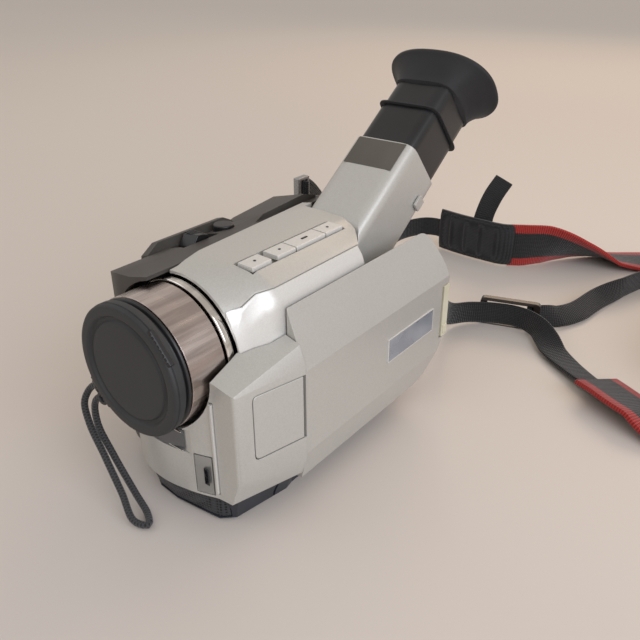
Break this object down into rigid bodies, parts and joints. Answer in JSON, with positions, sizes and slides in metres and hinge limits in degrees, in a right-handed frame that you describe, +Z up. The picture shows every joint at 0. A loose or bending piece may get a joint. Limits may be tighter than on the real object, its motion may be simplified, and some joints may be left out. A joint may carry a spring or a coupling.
{
  "type": "camcorder",
  "caption": "Compact tape camcorder with a folding side monitor, a tilting and extending viewfinder, a lens cap on a cord, a padded hand strap and a shoulder strap.",
  "frame": {"origin": "middle of the camcorder's box in X and Y, on the surface it stands on; bands and cord not counted", "axes": "+Z up, -Y the way the lens looks, +X towards the folding monitor's side"},
  "size_m": [0.2427, 0.366, 0.1415],
  "materials": {
    "silver_paint": "satin metallic silver paint on moulded shells",
    "dark_plastic": "fine-grained warm dark grey plastic",
    "base_plastic": "satin blue-black plastic",
    "black_plastic": "satin black plastic",
    "rubber": "matte moulded rubber",
    "sleeve_metal": "anodised champagne aluminium",
    "polished_metal": "polished ring",
    "cap_plastic": "matte grained black plastic",
    "ivory_plastic": "satin ivory plastic",
    "plate": "blank dark plate",
    "glass": "coated optical glass",
    "screen": "dark display",
    "board": "solder mask",
    "steel": "plated steel",
    "red_plastic": "glossy red",
    "webbing": "woven black webbing"
  },
  "bodies": {
    "camcorder": {"front_cover": "silver_paint", "badge_plate": "plate", "trim_strip": "polished_metal", "sensor_window": "glass", "lens_barrel": "sleeve_metal", "barrel_ring": "polished_metal", "hood_ring": "black_plastic", "lens_tube": "black_plastic", "front_lens": "glass", "image_sensor": "board", "top_cover": "silver_paint", "left_cover": "silver_paint", "right_cover": "dark_plastic", "rear_cover": "dark_plastic", "base_cover": "base_plastic", "microphone_grille": "black_plastic", "tripod_socket": "steel", "monitor_hinge": "black_plastic", "tape_chassis": "steel", "main_board": "board", "left_strap_lug": "steel", "right_strap_lug": "steel", "strap_left_web": "webbing", "strap_buckle": "black_plastic", "shoulder_strap": "webbing", "strap_end_piece": "webbing", "strap_right_web": "webbing"},
    "cap": {"lens_cap": "cap_plastic", "cap_cord": "webbing"},
    "zoom_lens_group": {"zoom_group": "glass"},
    "focus_lens_group": {"focus_group": "glass"},
    "jack_door": {"jack_cover": "silver_paint"},
    "zoom_rocker": {"zoom_lever": "black_plastic"},
    "snapshot": {"snapshot_button": "black_plastic"},
    "battery": {"battery_pack": "dark_plastic"},
    "battery_release": {"battery_latch": "black_plastic"},
    "mode_dial": {"power_dial": "black_plastic"},
    "record": {"record_button": "red_plastic"},
    "monitor": {"monitor_shell": "silver_paint", "monitor_frame": "black_plastic", "monitor_screen": "screen"},
    "monitor_catch": {"monitor_latch": "ivory_plastic"},
    "viewfinder": {"viewfinder_housing": "silver_paint"},
    "finder_tube": {"viewfinder_tube": "black_plastic", "eyepiece_barrel": "black_plastic", "eyecup": "rubber", "eyepiece_lens": "glass", "viewfinder_display": "screen"},
    "diopter": {"diopter_slider": "silver_paint"},
    "key_1": {"function_key_1": "silver_paint"},
    "key_2": {"function_key_2": "silver_paint"},
    "key_3": {"function_key_3": "silver_paint"},
    "key_4": {"function_key_4": "silver_paint"},
    "tape_door": {"cassette_door": "dark_plastic", "cassette_holder": "steel", "cassette": "base_plastic", "hand_strap": "webbing"},
    "drum": {"head_drum": "steel"},
    "supply_reel": {"supply_reel_table": "black_plastic"},
    "take_up_reel": {"take_up_reel_table": "black_plastic"}
  },
  "joints": [
    {"name": "cap_pull", "type": "slide", "parent": "camcorder", "child": "cap", "axis": [0, -1, 0], "range_m": [0, 0.02]},
    {"name": "zoom_travel", "type": "slide", "parent": "camcorder", "child": "zoom_lens_group", "axis": [0, 1, 0], "range_m": [-0.01, 0.006]},
    {"name": "focus_travel", "type": "slide", "parent": "camcorder", "child": "focus_lens_group", "axis": [0, 1, 0], "range_m": [-0.005, 0.008]},
    {"name": "jack_door_hinge", "type": "hinge", "parent": "camcorder", "child": "jack_door", "pos_m": [0.04531, -0.07684, 0.0424], "axis": [0, 0, -1], "range_deg": [0, 110]},
    {"name": "zoom_rock", "type": "slide", "parent": "camcorder", "child": "zoom_rocker", "axis": [0, 1, 0], "range_m": [-0.0035, 0.0035], "stiffness_N_per_m": 60},
    {"name": "snapshot_press", "type": "slide", "parent": "camcorder", "child": "snapshot", "axis": [0, 0, -1], "range_m": [0, 0.001], "stiffness_N_per_m": 200},
    {"name": "battery_pull", "type": "slide", "parent": "camcorder", "child": "battery", "axis": [0, 1, 0], "range_m": [0, 0.025]},
    {"name": "battery_release_slide", "type": "slide", "parent": "camcorder", "child": "battery_release", "axis": [0, 0, 1], "range_m": [0, 0.004], "stiffness_N_per_m": 80},
    {"name": "mode_turn", "type": "hinge", "parent": "camcorder", "child": "mode_dial", "pos_m": [-0.01255, 0.0282, 0.0678], "axis": [0, 1, 0], "range_deg": [-35, 35]},
    {"name": "record_press", "type": "slide", "parent": "camcorder", "child": "record", "axis": [0, -1, 0], "range_m": [0, 0.001], "stiffness_N_per_m": 200},
    {"name": "monitor_swing", "type": "hinge", "parent": "camcorder", "child": "monitor", "pos_m": [0.04925, -0.0538, 0.043], "axis": [0, 0, -1], "range_deg": [0, 90]},
    {"name": "monitor_catch_slide", "type": "slide", "parent": "monitor", "child": "monitor_catch", "axis": [0, -1, 0], "range_m": [0, 0.0012], "stiffness_N_per_m": 80},
    {"name": "viewfinder_tilt", "type": "hinge", "parent": "camcorder", "child": "viewfinder", "pos_m": [0.01715, 0.0142, 0.076], "axis": [1, 0, 0], "range_deg": [-35, 30]},
    {"name": "finder_tube_slide", "type": "slide", "parent": "viewfinder", "child": "finder_tube", "axis": [0, -0.8192, -0.5736], "range_m": [0, 0.014]},
    {"name": "diopter_adjust", "type": "slide", "parent": "viewfinder", "child": "diopter", "axis": [0, 0.8192, 0.5736], "range_m": [-0.0025, 0.0025]},
    {"name": "key_1_press", "type": "slide", "parent": "camcorder", "child": "key_1", "axis": [0, 0, -1], "range_m": [0, 0.0005], "stiffness_N_per_m": 300},
    {"name": "key_2_press", "type": "slide", "parent": "camcorder", "child": "key_2", "axis": [0, 0, -1], "range_m": [0, 0.0005], "stiffness_N_per_m": 300},
    {"name": "key_3_press", "type": "slide", "parent": "camcorder", "child": "key_3", "axis": [0, 0, -1], "range_m": [0, 0.0005], "stiffness_N_per_m": 300},
    {"name": "key_4_press", "type": "slide", "parent": "camcorder", "child": "key_4", "axis": [0, 0, -1], "range_m": [0, 0.0005], "stiffness_N_per_m": 300},
    {"name": "tape_door_hinge", "type": "hinge", "parent": "camcorder", "child": "tape_door", "pos_m": [-0.02655, -0.0278, 0.0206], "axis": [0, -1, 0], "range_deg": [0, 40]},
    {"name": "drum_spin", "type": "hinge", "parent": "camcorder", "child": "drum", "pos_m": [-0.01495, -0.0594, 0.046], "axis": [1, 0, 0], "continuous": true},
    {"name": "supply_reel_spin", "type": "hinge", "parent": "camcorder", "child": "supply_reel", "pos_m": [-0.00945, -0.0258, 0.046], "axis": [1, 0, 0], "continuous": true},
    {"name": "take_up_reel_spin", "type": "hinge", "parent": "camcorder", "child": "take_up_reel", "pos_m": [-0.00945, 0.0022, 0.046], "axis": [1, 0, 0], "continuous": true}
  ]
}
